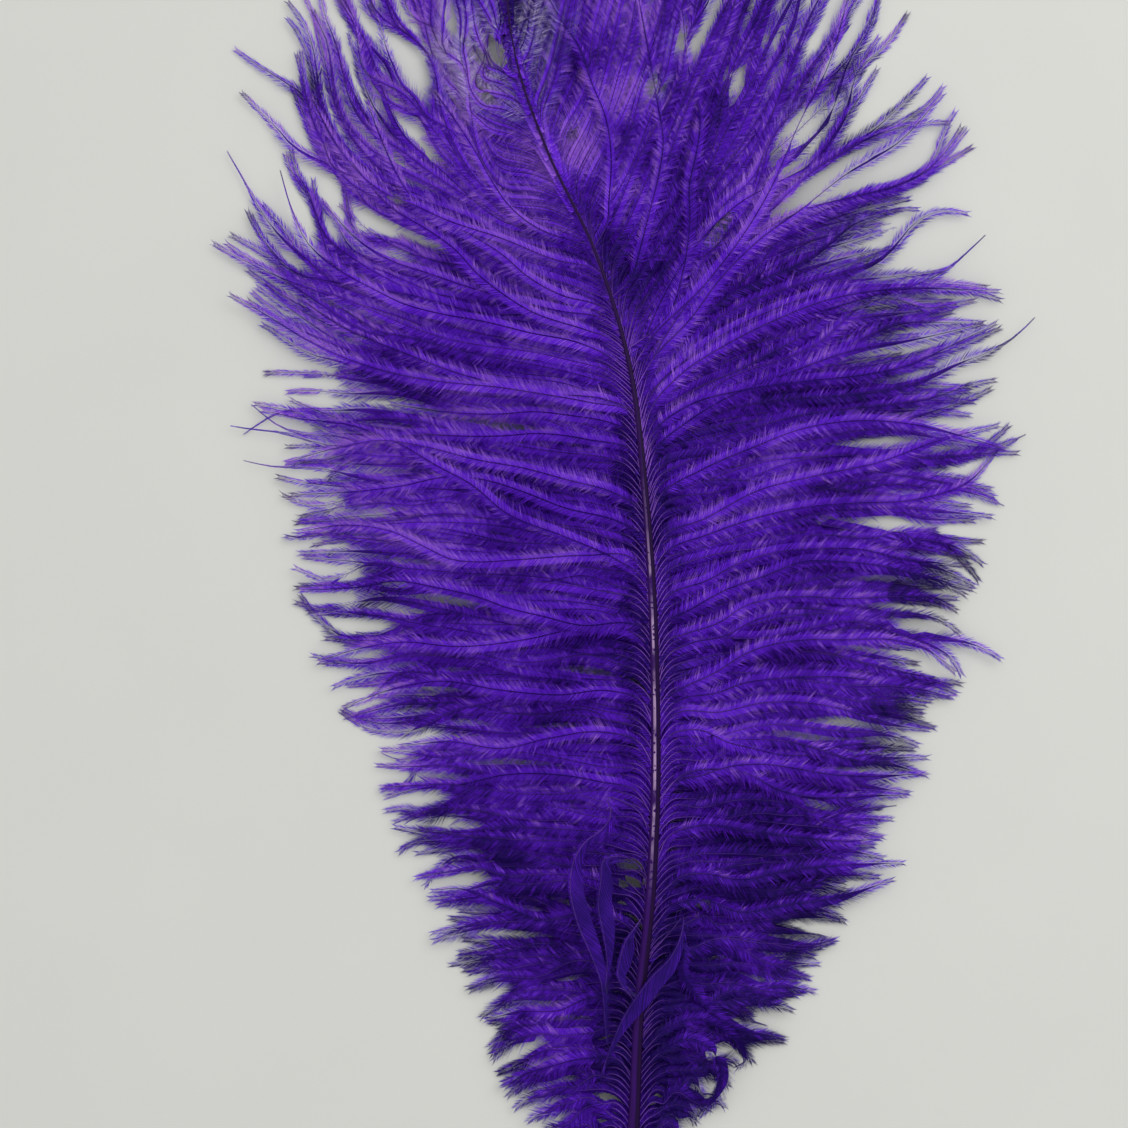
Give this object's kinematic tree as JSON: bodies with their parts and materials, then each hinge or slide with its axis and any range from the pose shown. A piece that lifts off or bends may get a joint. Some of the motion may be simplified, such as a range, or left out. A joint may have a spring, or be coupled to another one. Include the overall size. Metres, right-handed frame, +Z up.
{
  "type": "ostrich feather",
  "caption": "Full dyed ostrich plume lying down: a bowed shaft with a bare quill, and two wide drooping vanes of barbs gathered in tapering locks.",
  "frame": {"origin": "middle of the bounding box, on the surface that the plume lies on", "axes": "+Y from the quill's end to the tip of the plume, +X to the right seen from above, +Z up"},
  "size_m": [0.19, 0.3804, 0.0186],
  "materials": {
    "barbs": "soft dyed keratin barbs with fringes of barbules, violet, with a silky sheen",
    "quill": "dyed horn of the shaft, smooth and glossy, deep purple with a pale strip along the middle"
  },
  "bodies": {
    "root": {"feather": "barbs"}
  },
  "joints": []
}
